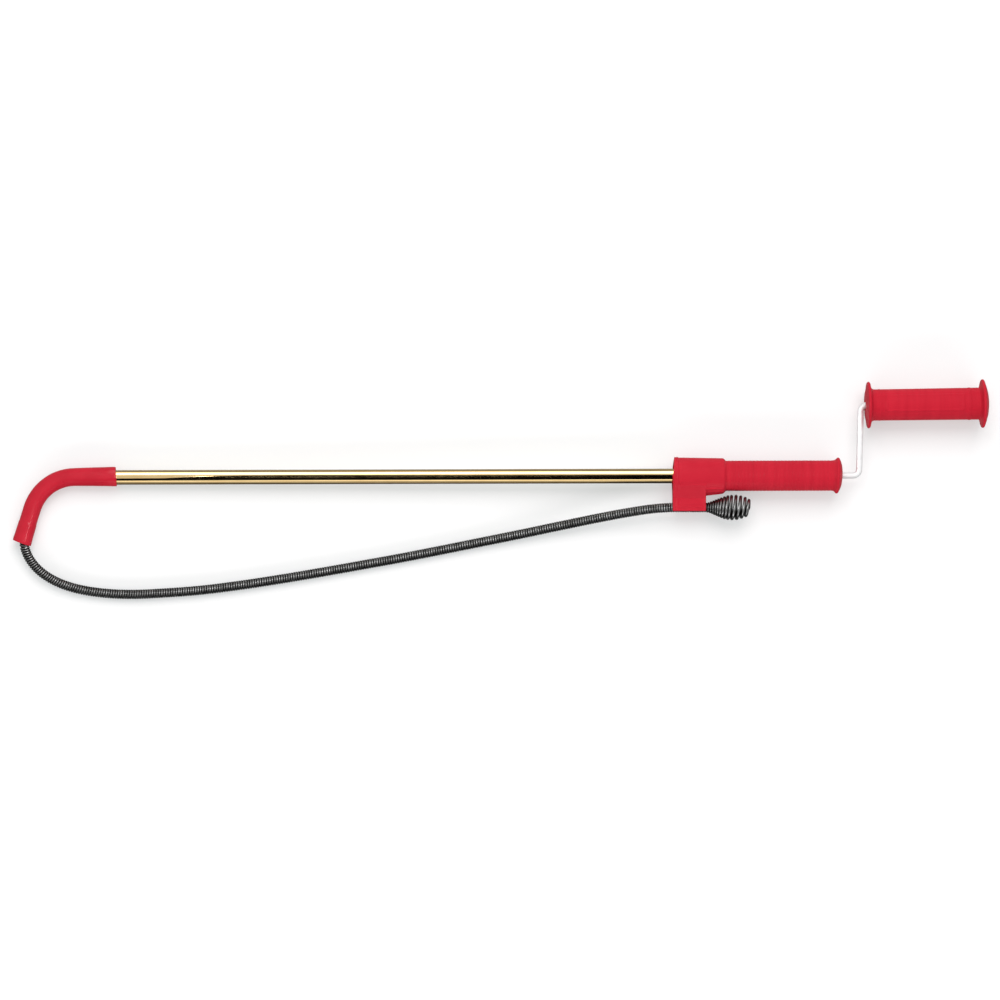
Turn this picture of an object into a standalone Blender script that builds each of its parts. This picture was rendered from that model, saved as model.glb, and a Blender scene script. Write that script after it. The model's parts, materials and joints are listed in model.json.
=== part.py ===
"""Closet auger: a hand-cranked drain snake for toilets, lying on its side as it is stored.

Tool frame: the straight guide tube runs along X, with the crank at +X and the bowl end at -X.
The stored cable bows out towards -Y and the crank arm points to +Y. The tool frame is then laid
on the floor, z = 0, resting on the guard's mouth, the clip collar and the crank grip.
"""
from math import asin, atan2, cos, pi, radians, sin, tan

import bmesh
import bpy
from mathutils import Vector

MM = 0.001
GAP = 0.3 * MM                      # between pieces that touch
TURN_STEPS = 36                     # facets round a turned piece

# Guide tube: 3/4 inch, with the bowl bend at its far end
TUBE_R = 9.525 * MM
TUBE_WALL = 1.0 * MM
TUBE_SIDES = 16
TUBE_TOP_X = 434.0 * MM
RUNNING_FIT = 0.08 * MM
BEND_CORNER_X = -597.9 * MM         # where the centrelines of tube and leg cross
BEND_R = 57.0 * MM
LEG_LEAN = radians(17.2)            # of the leg, from -Y towards -X
LEG_LENGTH = 88.7 * MM              # from the corner to the guard's mouth
TUBE_RECESS = 4.0 * MM              # of the tube's end inside the guard's mouth

# Vinyl bowl guard
GUARD_R = 11.5 * MM
GUARD_END_R = 12.5 * MM
GUARD_MOUTH_R = 12.6 * MM
GUARD_TOP_X = -500.6 * MM

# Hand grip
GRIP_R = 19.7 * MM
GRIP_X = (227.0 * MM, 442.9 * MM)
GRIP_RIM_R = 23.4 * MM
GRIP_RIM_X = 436.6 * MM

# Clip collar: a tapered barrel round the grip, with a downward hook for the cable
COLLAR_X = (222.9 * MM, 288.6 * MM)
COLLAR_R = (24.7 * MM, 22.9 * MM)
COLLAR_CHAMFER = 3.2 * MM
COLLAR_LEAN = radians(8.0)          # of the front face
HOOK_X = (222.6 * MM, 266.2 * MM)
HOOK_DROP = 45.6 * MM               # of the jaws' ends below the tube's axis
HOOK_HALF = 9.7 * MM
BAND = 0.6 * MM                     # height of the raised bands
CLIP_Y = -41.0 * MM                 # of the clipped cable's centre

# Cable: 1/2 inch close-wound coil with an inner core
CABLE_R = 6.35 * MM
COIL_WALL = 2.3 * MM
CABLE_START_X = -549.3 * MM
CABLE_END_X = 244.0 * MM
WIRE_R = 1.55 * MM

# Crank
ROD_R = 4.0 * MM
ROD_START_X = -528.0 * MM
ARM_X = 464.8 * MM                  # of the arm's centreline at the tube's axis
ARM_TOP_X = 467.2 * MM              # and at the crank grip's axis
CRANK_THROW = 91.2 * MM
ROD_BEND_R = 8.0 * MM
ROD_REACH = 150.0 * MM              # of the rod inside the crank grip
KNOB_TILT = radians(0.6)            # of the crank grip's axis, away from the tube
KNOB_HUB_X = 5.4 * MM               # of the grip's inner face, past the arm's centreline
KNOB_LENGTH = 159.9 * MM
KNOB_BODY_R = 20.5 * MM
KNOB_INNER_RIM_R = 30.2 * MM
KNOB_OUTER_RIM_R = 31.5 * MM
KNOB_LINER_X = (12.4 * MM, 138.0 * MM)

# How the tool lies: heights of the tube's axis where guard and collar touch the floor
REST_GUARD = (-624.0 * MM, 12.62 * MM)
REST_COLLAR = (225.0 * MM, 24.73 * MM)
TUBE_X, TUBE_Y = 1.85 * MM, 17.3 * MM   # centres the whole tool on the origin
SLOPE = atan2(REST_COLLAR[1] - REST_GUARD[1], REST_COLLAR[0] - REST_GUARD[0])

# The cable's route outside the guard, in the tool frame: x, y and height above the floor, in mm
CABLE_ROUTE = (
    (-621.6, -89.6, 12.6), (-618.3, -101.0, 12.4), (-610.1, -113.4, 11.6), (-599.4, -123.2, 10.3),
    (-585.9, -131.9, 8.8), (-570.0, -139.5, 7.6), (-547.6, -146.3, 6.8), (-521.1, -150.4, 6.5),
    (-495.1, -152.3, 6.45), (-469.1, -152.3, 6.45), (-443.1, -151.0, 6.45), (-391.1, -147.2, 6.45),
    (-339.1, -140.8, 6.45), (-287.1, -133.0, 6.45), (-235.1, -124.4, 6.45), (-183.1, -115.3, 6.45),
    (-131.1, -106.0, 6.5), (-79.1, -96.0, 6.9), (-27.1, -85.7, 7.8), (24.9, -75.3, 9.4),
    (76.9, -64.5, 12.0), (128.9, -54.0, 15.8), (172.0, -46.2, 20.0), (200.0, -42.3, 23.2),
)

COLLECTION = "closet_auger"
CUTTERS = "cutters"


# ---------------------------------------------------------------- scene and materials

def clear_scene():
    for obj in list(bpy.data.objects):
        bpy.data.objects.remove(obj, do_unlink=True)


def collection(name):
    found = bpy.data.collections.get(name) or bpy.data.collections.new(name)
    if found.name not in bpy.context.scene.collection.children:
        bpy.context.scene.collection.children.link(found)
    return found


def material(name, colour, roughness, metallic=0.0):
    found = bpy.data.materials.get(name)
    if found:
        return found
    made = bpy.data.materials.new(name)
    made.use_nodes = True
    shader = made.node_tree.nodes["Principled BSDF"]
    shader.inputs["Base Color"].default_value = (*colour, 1.0)
    shader.inputs["Roughness"].default_value = roughness
    shader.inputs["Metallic"].default_value = metallic
    made.diffuse_color = (*colour, 1.0)
    return made


def red_vinyl():
    return material("red_vinyl", (0.61, 0.025, 0.048), 0.45)


def plated_tube():
    return material("gold_plating", (0.86, 0.66, 0.34), 0.15, 1.0)


def dark_spring_steel():
    return material("spring_steel", (0.09, 0.09, 0.09), 0.35, 1.0)


def bright_steel():
    return material("bright_steel", (0.83, 0.83, 0.84), 0.2, 1.0)


def nylon():
    return material("nylon", (0.78, 0.76, 0.70), 0.5)


# ---------------------------------------------------------------- building blocks

def place(name, data, finish, parent, kind=COLLECTION):
    obj = bpy.data.objects.new(name, data)
    if finish:
        data.materials.append(finish)
    collection(kind).objects.link(obj)
    obj.parent = parent
    return obj


def empty(name, parent, location=(0, 0, 0), rotation=(0, 0, 0)):
    obj = bpy.data.objects.new(name, None)
    obj.empty_display_size = 0.03
    obj.location = location
    obj.rotation_euler = rotation
    obj.parent = parent
    collection(COLLECTION).objects.link(obj)
    return obj


def as_cutter(obj):
    obj.hide_render = True
    obj.display_type = "WIRE"
    return obj


def turned(name, profile, finish, parent, closed=True, steps=TURN_STEPS, kind=COLLECTION):
    """A piece turned about X: the profile lists (x, radius), down its outer side from +X to -X."""
    mesh = bpy.data.meshes.new(name)
    shape = bmesh.new()
    points = [shape.verts.new((radius, 0, x)) for x, radius in profile]
    for first, second in zip(points, points[1:]):
        shape.edges.new((first, second))
    if closed:
        shape.edges.new((points[-1], points[0]))
    shape.to_mesh(mesh)
    shape.free()
    obj = place(name, mesh, finish, parent, kind)
    obj.rotation_euler = (0, pi / 2, 0)
    screw = obj.modifiers.new("turn", "SCREW")
    screw.steps = steps
    screw.render_steps = steps
    screw.use_merge_vertices = True
    screw.merge_threshold = 0.00001
    screw.use_smooth_shade = True
    return obj


def sleeve(name, x_low, x_high, inner, outer, finish, parent, steps=TURN_STEPS):
    """A plain turned ring or sleeve."""
    profile = [(x_high, inner), (x_high, outer), (x_low, outer), (x_low, inner)]
    return turned(name, profile, finish, parent, steps=steps)


def arc(centre, radius, start, end, count):
    """Points (x, radius) on an arc in the turning plane, angles in radians from +X."""
    steps = [start + (end - start) * i / (count - 1) for i in range(count)]
    return [(centre[0] + radius * cos(a), centre[1] + radius * sin(a)) for a in steps]


def wire(name, points, radius, finish, parent, resolution=2, capped=True, radii=None):
    """A round bar, tube skin or wire along a list of points."""
    data = bpy.data.curves.new(name, "CURVE")
    data.dimensions = "3D"
    data.bevel_depth = radius
    data.bevel_resolution = resolution
    data.use_fill_caps = capped
    data.twist_mode = "MINIMUM"
    spline = data.splines.new("POLY")
    spline.points.add(len(points) - 1)
    for i, point in enumerate(points):
        spline.points[i].co = (*point, 1.0)
        spline.points[i].radius = radii[i] / radius if radii else 1.0
    return place(name, data, finish, parent)


def add_wall(obj, thickness):
    """Give an open skin a wall inside it."""
    wall = obj.modifiers.new("wall", "SOLIDIFY")
    wall.thickness = thickness
    wall.offset = -1.0
    wall.use_even_offset = True
    return obj


def block(name, low, high, parent):
    """A box between two corners, used to cut or to join."""
    shape = bmesh.new()
    bmesh.ops.create_cube(shape, size=1.0)
    low, high = Vector(low), Vector(high)
    for vert in shape.verts:
        vert.co = (low + high) / 2 + Vector(a * b for a, b in zip(vert.co, high - low))
    mesh = bpy.data.meshes.new(name)
    shape.to_mesh(mesh)
    shape.free()
    return as_cutter(place(name, mesh, None, parent, CUTTERS))


def round_cutter(name, x_low, x_high, radius, parent, y=0.0, steps=TURN_STEPS):
    """A solid cylinder along X, used to cut."""
    profile = [(x_high, 0), (x_high, radius), (x_low, radius), (x_low, 0)]
    obj = turned(name, profile, None, parent, closed=False, steps=steps, kind=CUTTERS)
    obj.location.y = y
    return as_cutter(obj)


def upright_pin(name, x, z, radius, length, parent, kind=COLLECTION):
    """A short cylinder along Z, centred at x, z."""
    shape = bmesh.new()
    bmesh.ops.create_cone(
        shape, cap_ends=True, segments=16, radius1=radius, radius2=radius, depth=length
    )
    mesh = bpy.data.meshes.new(name)
    shape.to_mesh(mesh)
    shape.free()
    obj = place(name, mesh, None, parent, kind)
    obj.location = (x, 0, z)
    return obj


def combine(obj, tool, operation):
    step = obj.modifiers.new(tool.name, "BOOLEAN")
    step.object = tool
    step.operation = operation
    step.solver = "EXACT"


def smooth_through(route, per_span):
    """Points read from one smooth curve through the route's own points."""
    points = [Vector(p) for p in route]
    ends = [2 * points[0] - points[1]] + points + [2 * points[-1] - points[-2]]
    found = []
    for p0, p1, p2, p3 in zip(ends, ends[1:], ends[2:], ends[3:]):
        # tangents weighted by the spans' lengths, so uneven spacing makes no kinks
        before, here, after = (p1 - p0).length, (p2 - p1).length, (p3 - p2).length
        start = ((p1 - p0) / before * here + (p2 - p1) / here * before) / (before + here)
        finish = ((p2 - p1) / here * after + (p3 - p2) / after * here) / (here + after)
        for i in range(per_span):
            t = i / per_span
            found.append(
                (2 * t**3 - 3 * t**2 + 1) * p1
                + (t**3 - 2 * t**2 + t) * here * start
                + (3 * t**2 - 2 * t**3) * p2
                + (t**3 - t**2) * here * finish
            )
    return found + [points[-1]]


def filleted(corners, radius, count):
    """A path of straight runs whose inner corners are rounded."""
    path = [Vector(corners[0])]
    for before, corner, after in zip(corners, corners[1:], corners[2:]):
        before, corner, after = Vector(before), Vector(corner), Vector(after)
        inward = (before - corner).normalized()
        outward = (after - corner).normalized()
        half = inward.angle(outward) / 2
        start = corner + inward * radius / tan(half)
        finish = corner + outward * radius / tan(half)
        centre = corner + (inward + outward).normalized() * radius / sin(half)
        first, last = (start - centre).normalized(), (finish - centre).normalized()
        for i in range(count + 1):
            path.append(centre + radius * first.slerp(last, i / count))
    return path + [Vector(corners[-1])]


# ---------------------------------------------------------------- the guide's route

def axis_height(x):
    """Height of the tube's axis above the floor."""
    return REST_GUARD[1] + (x - REST_GUARD[0]) * tan(SLOPE)


def on_leg(distance):
    """A point on the leg's centreline, so far past the corner."""
    return Vector((BEND_CORNER_X - distance * sin(LEG_LEAN), -distance * cos(LEG_LEAN), 0))


def bend_path(start_x, leg_end, count=9):
    """From a place on the straight tube, round the bowl bend, to a place on the leg."""
    corners = [(start_x, 0, 0), (BEND_CORNER_X, 0, 0), on_leg(leg_end)]
    return filleted(corners, BEND_R, count)


def cable_path():
    """The whole cable, from the coupling in the tube, out of the mouth and back to the clip."""
    inside = bend_path(CABLE_START_X, LEG_LENGTH - 12 * MM, count=6)
    outside = [
        (x * MM, y * MM, height * MM - axis_height(x * MM)) for x, y, height in CABLE_ROUTE
    ]
    clipped = [(HOOK_X[0] - 3 * MM, CLIP_Y, 0), (CABLE_END_X, CLIP_Y, 0)]
    return inside + smooth_through([*outside, *clipped], 2)


# ---------------------------------------------------------------- guide pieces

def make_guide_tube(parent):
    path = bend_path(TUBE_TOP_X, LEG_LENGTH - TUBE_RECESS, count=10)
    resolution = (TUBE_SIDES - 4) // 2
    tube = wire("guide_tube", path, TUBE_R, plated_tube(), parent, resolution, capped=False)
    add_wall(tube, TUBE_WALL)


def make_bowl_guard(parent):
    """A sleeve over the bend, wider towards its top end and at its mouth."""
    path = bend_path(GUARD_TOP_X, LEG_LENGTH, count=10)
    path.insert(-1, on_leg(LEG_LENGTH - 18 * MM))
    path.insert(-1, on_leg(LEG_LENGTH - 3 * MM))
    radii = [GUARD_R] * len(path)
    radii[0] = GUARD_END_R
    radii[-1] = radii[-2] = GUARD_MOUTH_R
    guard = wire("bowl_guard", path, GUARD_R, red_vinyl(), parent, 6, capped=False, radii=radii)
    add_wall(guard, GUARD_R - TUBE_R - GAP)


def make_hand_grip(parent):
    """A thick sleeve over the tube's top end, closed by a domed, rimmed end."""
    low, high = GRIP_X
    bore = TUBE_R + GAP
    seat = TUBE_TOP_X + 3.4 * MM
    hole = ROD_R + 0.6 * MM
    rim = arc((GRIP_RIM_X, GRIP_RIM_R - 2.2 * MM), 2.2 * MM, radians(20), radians(160), 6)
    profile = [
        (high, hole), (high, 8 * MM), (high - 0.8 * MM, 14 * MM), *rim,
        (GRIP_RIM_X - 4.2 * MM, GRIP_R + 0.3 * MM), (GRIP_RIM_X - 6 * MM, GRIP_R),
        (low + 1.5 * MM, GRIP_R), (low, GRIP_R - 1.5 * MM), (low, bore), (seat, bore), (seat, hole),
    ]
    turned("hand_grip", profile, red_vinyl(), parent)


def make_collar(parent):
    """Barrel, hook block and raised bands, joined, then bored for the grip and the cable."""
    low, high = COLLAR_X
    barrel = [
        (high + COLLAR_CHAMFER, 0), (high + COLLAR_CHAMFER, GRIP_R + 0.6 * MM), (high, COLLAR_R[1]),
        (low + 8 * MM, COLLAR_R[0] - 0.8 * MM), (low + 7 * MM, COLLAR_R[0]), (low, COLLAR_R[0]),
        (low, 0),
    ]
    collar = turned("clip_collar", barrel, red_vinyl(), parent, closed=False, steps=48)
    left, right = HOOK_X
    foot = -HOOK_DROP
    plate, proud = HOOK_HALF, HOOK_HALF + BAND
    top = -8 * MM
    blocks = {
        "hook_block": ((left + 0.4 * MM, foot + BAND, -plate), (right - 0.4 * MM, top, plate)),
        "hook_band_front": ((left, foot, -proud), (left + 7 * MM, top, proud)),
        "hook_band_back": ((right - 3.8 * MM, foot, -proud), (right, top, proud)),
        "hook_band_foot": ((left + MM, foot, -proud), (right - MM, foot + 7.5 * MM, proud)),
    }
    for name, (corner_low, corner_high) in blocks.items():
        combine(collar, block(name, corner_low, corner_high, parent), "UNION")
    past = 20 * MM                         # how far the cutters reach past the collar
    ends = (low - past, high + past)
    jaw = 5.2 * MM
    grip_bore = round_cutter("collar_bore", *ends, GRIP_R + GAP, parent)
    channel = round_cutter("clip_channel", *ends, CABLE_R + GAP, parent, CLIP_Y, 24)
    slot_top = CLIP_Y - 2 * MM
    slot = block("clip_slot", (ends[0], 2 * foot, -jaw), (ends[1], slot_top, jaw), parent)
    tall = 60 * MM
    face = block("front_face", (-2 * past, -HOOK_HALF, -tall), (0, tall, tall), parent)
    face.location = (low, 0, 0)
    face.rotation_euler = (0, 0, -COLLAR_LEAN)
    for tool in (grip_bore, channel, slot, face):
        combine(collar, tool, "DIFFERENCE")


def make_cable(parent):
    path = cable_path()
    coil = wire("drain_cable", path, CABLE_R, dark_spring_steel(), parent, 3, capped=False)
    add_wall(coil, COIL_WALL)
    core_r = CABLE_R - COIL_WALL - GAP
    wire("cable_inner_core", path, core_r, dark_spring_steel(), parent, 3)


# ---------------------------------------------------------------- bulb

def bulb_outline(x):
    """Outer radius of the bulb at a distance from the clip's back face."""
    known = (
        (0, 6.35), (3, 6.6), (12, 10.0), (20.5, 13.3), (29, 15.6), (36, 16.3),
        (42, 15.9), (48, 13.4), (56, 9.0), (60, 6.5),
    )
    for (x0, r0), (x1, r1) in zip(known, known[1:]):
        if x * 1000 <= x1:
            share = (x * 1000 - x0) / (x1 - x0)
            return (r0 + (r1 - r0) * share) * MM
    return known[-1][1] * MM


def make_bulb(parent):
    """The cable's end: a close-wound flaring neck, then open turns that close to a blunt tip."""
    start = GAP
    flare = HOOK_X[1] - CABLE_END_X
    neck_end = flare + 17 * MM
    outer = [(neck_end, bulb_outline(17 * MM)), (flare + 10 * MM, bulb_outline(10 * MM))]
    outer += [(flare + 3 * MM, bulb_outline(3 * MM)), (flare, CABLE_R), (start, CABLE_R)]
    inner = [(x, r - COIL_WALL) for x, r in reversed(outer)]
    turned("bulb_neck", outer + inner, dark_spring_steel(), parent, steps=24)
    core_r = CABLE_R - COIL_WALL - GAP
    tip = [(flare + 6 * MM, 0), (flare + 6 * MM, core_r - 0.8 * MM), (flare + 5 * MM, core_r)]
    tip += [(start, core_r), (start, 0)]
    turned("bulb_core_tip", tip, dark_spring_steel(), parent, closed=False, steps=16)
    points = []
    x, angle, per_turn = 17 * MM + GAP + WIRE_R + 0.5 * MM, 0.0, 12
    while x < 57 * MM:
        radius = bulb_outline(x) - WIRE_R
        points.append((flare + x, radius * cos(angle), radius * sin(angle)))
        pitch = (4.0 if x < 27 * MM else 6.2) * MM
        x += pitch / per_turn
        angle -= 2 * pi / per_turn
    wire("bulb_coil", points, WIRE_R, dark_spring_steel(), parent)


# ---------------------------------------------------------------- crank

def make_bush(parent):
    """A flanged nylon bush in the tube's top end, which guides the rod."""
    body = (TUBE_R - TUBE_WALL) * cos(pi / TUBE_SIDES) - RUNNING_FIT
    flange = TUBE_R - 0.2 * MM
    face = TUBE_TOP_X + GAP
    profile = [
        (face + 2.6 * MM, ROD_R + RUNNING_FIT), (face + 2.6 * MM, flange), (face, flange), (face, body),
        (TUBE_TOP_X - 26 * MM, body), (TUBE_TOP_X - 26 * MM, ROD_R + RUNNING_FIT),
    ]
    turned("rod_bush", profile, nylon(), parent, steps=48)


def make_rod(parent):
    corners = [
        (ROD_START_X, 0, 0),
        (ARM_X, 0, 0),
        (ARM_TOP_X, CRANK_THROW, 0),
        (ARM_TOP_X + ROD_REACH * cos(KNOB_TILT), CRANK_THROW + ROD_REACH * sin(KNOB_TILT), 0),
    ]
    wire("crank_rod", filleted(corners, ROD_BEND_R, 5), ROD_R, bright_steel(), parent, 4)


def make_coupling(parent):
    """A turned steel coupling that joins the rod to the cable, held by grub screws."""
    low = CABLE_START_X + GAP
    high = ROD_START_X + 22 * MM
    outer = TUBE_R - TUBE_WALL - 0.7 * MM
    floor = ROD_START_X - GAP
    socket = ROD_R + GAP
    profile = [
        (floor, 0), (floor, socket), (high, socket), (high, outer - MM), (high - MM, outer),
        (low + MM, outer), (low, outer - MM), (low, 3 * MM), (low + 6 * MM, 3 * MM),
        (low + 6 * MM, 0),
    ]
    body = turned("cable_coupling", profile, bright_steel(), parent, closed=False, steps=32)
    hole_r, screw_length = 2.0 * MM, outer - socket - 0.6 * MM
    for number, screw_x in enumerate((floor + 7 * MM, floor + 16 * MM), 1):
        hole = upright_pin(f"grub_hole_{number}", screw_x, 8 * MM, hole_r, 12 * MM, parent, CUTTERS)
        combine(body, as_cutter(hole), "DIFFERENCE")
        middle = socket + 0.3 * MM + screw_length / 2
        screw = upright_pin(f"grub_screw_{number}", screw_x, middle, hole_r - GAP, screw_length, parent)
        screw.data.materials.append(bright_steel())
    washer_x = high + GAP
    sleeve("thrust_washer", washer_x, washer_x + 1.6 * MM, ROD_R + GAP, outer, bright_steel(), parent)


# ---------------------------------------------------------------- crank grip

def knob_profile():
    """Outline of the crank grip from its outer dome to its inner flange, and back down the bore."""
    length = KNOB_LENGTH
    bore = ROD_R + 2.6 * MM
    inner_rim_x, outer_rim_x = 4.6 * MM, length - 7.7 * MM
    lip = 1.9 * MM
    outer_rim = arc((outer_rim_x, KNOB_OUTER_RIM_R - lip), lip, radians(15), radians(165), 6)
    inner_rim = arc((inner_rim_x, KNOB_INNER_RIM_R - lip), lip, radians(15), radians(165), 6)
    return [
        (length, 0), (length - 0.5 * MM, 9 * MM), (length - 2.0 * MM, 18 * MM), *outer_rim,
        (outer_rim_x - 4.0 * MM, 24.0 * MM), (outer_rim_x - 6.5 * MM, KNOB_BODY_R + 0.4 * MM),
        (outer_rim_x - 8.5 * MM, KNOB_BODY_R), (inner_rim_x + 7.5 * MM, KNOB_BODY_R),
        (inner_rim_x + 5.5 * MM, KNOB_BODY_R + 0.5 * MM), (inner_rim_x + 3.2 * MM, 24.0 * MM),
        *inner_rim, (0.9 * MM, 19 * MM), (0, 12 * MM), (0, bore), (ROD_REACH - 4 * MM, bore),
        (ROD_REACH - 4 * MM, 0),
    ]


def make_knob(knob, crank):
    """The free-turning crank grip, and what holds it on the rod's end."""
    profile = [(KNOB_HUB_X + x, radius) for x, radius in knob_profile()]
    turned("crank_grip", profile, red_vinyl(), knob, closed=False)
    bore = ROD_R + 2.6 * MM
    low, high = KNOB_LINER_X
    sleeve("crank_grip_liner", low, high, ROD_R + RUNNING_FIT, bore - GAP, nylon(), knob, 48)
    washer = bore - GAP
    inner = low - GAP
    sleeve("inner_grip_washer", inner - 1.2 * MM, inner, ROD_R + GAP, washer, bright_steel(), crank)
    outer = high + GAP
    sleeve("outer_grip_washer", outer, outer + 1.2 * MM, ROD_R + GAP, washer, bright_steel(), crank)
    nut = outer + 1.2 * MM + GAP
    profile = [
        (nut + 2.4 * MM, ROD_R + GAP), (nut + 2.4 * MM, ROD_R + 1.2 * MM), (nut + 0.8 * MM, washer),
        (nut, washer), (nut, ROD_R + GAP),
    ]
    turned("push_nut", profile, bright_steel(), crank)


# ---------------------------------------------------------------- assembly

def build():
    clear_scene()
    guide = empty("guide_frame", None, (TUBE_X, TUBE_Y, axis_height(0)), (0, -SLOPE, 0))
    make_guide_tube(guide)
    make_bowl_guard(guide)
    make_hand_grip(guide)
    make_collar(guide)
    make_cable(guide)
    make_bulb(empty("bulb_axis", guide, (CABLE_END_X, CLIP_Y, 0)))
    # the crank leans up a little, until its grip's inner rim rests on the floor
    rim_height = axis_height(ARM_TOP_X + 10 * MM)
    lean = asin(max(0.0, KNOB_INNER_RIM_R - rim_height) / CRANK_THROW)
    crank = empty("crank_axis", guide, (0, 0, 0), (lean, 0, 0))
    make_bush(crank)
    make_rod(crank)
    make_coupling(crank)
    knob_place = (ARM_TOP_X, CRANK_THROW, 0)
    knob = empty("crank_grip_axis", crank, knob_place, (0, 0, KNOB_TILT))
    on_rod = empty("rod_end_axis", crank, knob_place, (0, 0, KNOB_TILT))
    make_knob(knob, on_rod)


build()
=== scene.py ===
"""Looks of the closet auger: fine meshes, materials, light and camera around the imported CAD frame."""

import json
from math import atan2, cos, pi, radians, sin, tan

import bmesh
import bpy
import numpy as np
from mathutils import Matrix, Vector


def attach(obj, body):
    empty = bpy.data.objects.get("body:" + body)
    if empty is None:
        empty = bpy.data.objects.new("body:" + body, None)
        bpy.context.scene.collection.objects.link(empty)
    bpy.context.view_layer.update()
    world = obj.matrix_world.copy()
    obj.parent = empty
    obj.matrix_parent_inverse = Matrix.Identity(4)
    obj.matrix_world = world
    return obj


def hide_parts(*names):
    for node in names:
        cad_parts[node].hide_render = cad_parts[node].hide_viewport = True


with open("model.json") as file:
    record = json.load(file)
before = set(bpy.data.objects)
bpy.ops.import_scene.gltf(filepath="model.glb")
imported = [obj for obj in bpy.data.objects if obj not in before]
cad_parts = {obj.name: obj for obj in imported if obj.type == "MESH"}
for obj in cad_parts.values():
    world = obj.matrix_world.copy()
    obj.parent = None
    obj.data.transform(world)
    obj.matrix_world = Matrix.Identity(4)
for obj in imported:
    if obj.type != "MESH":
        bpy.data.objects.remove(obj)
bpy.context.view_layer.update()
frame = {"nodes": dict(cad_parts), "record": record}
MM = 0.001

# ---------------------------------------------------------------- frames of the moving parts

JOINTS = {joint["name"]: joint for joint in frame["record"]["behaviour"]["joints"]}


def frame_at(origin, along, side):
    """A frame at origin, with X along one direction and Y as near side as that allows."""
    x = Vector(along).normalized()
    z = x.cross(Vector(side)).normalized()
    y = z.cross(x)
    turned = Matrix((x, y, z)).transposed().to_4x4()
    turned.translation = Vector(origin)
    return turned


SPIN, KNOB_SPIN, BULB_SPIN = (JOINTS[name] for name in ("crank_spin", "crank_grip_spin", "bulb_spin"))
TOOL = frame_at(SPIN["pos_m"], SPIN["axis"], (0, 1, 0))
KNOB_IN_TOOL = TOOL.inverted() @ Vector(KNOB_SPIN["pos_m"])
CRANK = TOOL @ Matrix.Rotation(atan2(KNOB_IN_TOOL.z, KNOB_IN_TOOL.y), 4, "X")
KNOB = frame_at(KNOB_SPIN["pos_m"], KNOB_SPIN["axis"], CRANK.to_3x3() @ Vector((0, 1, 0)))
BULB = frame_at(BULB_SPIN["pos_m"], BULB_SPIN["axis"], (0, 1, 0))

# ---------------------------------------------------------------- sizes, nearly all as in the CAD

TUBE_R, TUBE_WALL, TUBE_TOP_X = 9.525 * MM, 1.0 * MM, 434.0 * MM
BEND_CORNER_X, BEND_R = -597.9 * MM, 57.0 * MM
LEG_LEAN, LEG_LENGTH, TUBE_RECESS = radians(17.2), 88.7 * MM, 4.0 * MM
GUARD_R, GUARD_END_R, GUARD_MOUTH_R, GUARD_TOP_X = 11.5 * MM, 12.5 * MM, 12.6 * MM, -500.6 * MM
GRIP_R, GRIP_X, GRIP_RIM_R, GRIP_RIM_X = 19.7 * MM, (227.0 * MM, 442.9 * MM), 23.4 * MM, 436.6 * MM
COLLAR_X, COLLAR_R = (222.9 * MM, 288.6 * MM), (24.7 * MM, 22.9 * MM)
HOOK_X, HOOK_FOOT, HOOK_HALF = (222.6 * MM, 266.2 * MM), -45.6 * MM, 9.7 * MM
CABLE_R, CLIP_Y = 6.35 * MM, -41.0 * MM
CABLE_START_X, CABLE_END_X = -549.3 * MM, 244.0 * MM
ROD_R, ROD_START_X, ROD_BEND_R = 4.0 * MM, -528.0 * MM, 8.0 * MM
ARM_X, ARM_TOP_X, ROD_REACH = 464.8 * MM, 467.2 * MM, 150.0 * MM
CRANK_THROW = (KNOB_IN_TOOL.y**2 + KNOB_IN_TOOL.z**2) ** 0.5
KNOB_HUB_X, KNOB_LENGTH, KNOB_BODY_R = 5.4 * MM, 159.9 * MM, 20.5 * MM
KNOB_RIMS = (30.2 * MM, 31.5 * MM)
WIRE_R, WINDING = 1.55 * MM, 3.15 * MM
MEETING_WIRE = 0.4                   # share of the wire's radius that is left where cable and bulb meet
SLACK = 0.3 * MM                     # between a bore and what goes through it

# The cable's route outside the guard, in the tool frame: x, y and height above the floor. Its
# first bend is up to 1.6 mm inside the CAD's.
CABLE_ROUTE = (
    (-0.6208, -0.0896, 0.0126), (-0.6167, -0.1010, 0.0124), (-0.6088, -0.1134, 0.0116),
    (-0.5989, -0.1234, 0.0103), (-0.5860, -0.1323, 0.0088), (-0.5700, -0.1398, 0.0076),
    (-0.5476, -0.1463, 0.0068), (-0.5211, -0.1504, 0.0065), (-0.4951, -0.1523, 0.00645),
    (-0.4691, -0.1523, 0.00645), (-0.4431, -0.1510, 0.00645), (-0.3911, -0.1472, 0.00645),
    (-0.3391, -0.1408, 0.00645), (-0.2871, -0.1330, 0.00645), (-0.2351, -0.1244, 0.00645),
    (-0.1831, -0.1153, 0.00645), (-0.1311, -0.1060, 0.0065), (-0.0791, -0.0960, 0.0069),
    (-0.0271, -0.0857, 0.0078), (0.0249, -0.0753, 0.0094), (0.0769, -0.0645, 0.0120),
    (0.1289, -0.0540, 0.0158), (0.1720, -0.0462, 0.0200), (0.2000, -0.0423, 0.0232),
)


def axis_height(x):
    """Height of the tube's axis above the floor."""
    return (TOOL @ Vector((x, 0, 0))).z


# ---------------------------------------------------------------- paths

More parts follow.
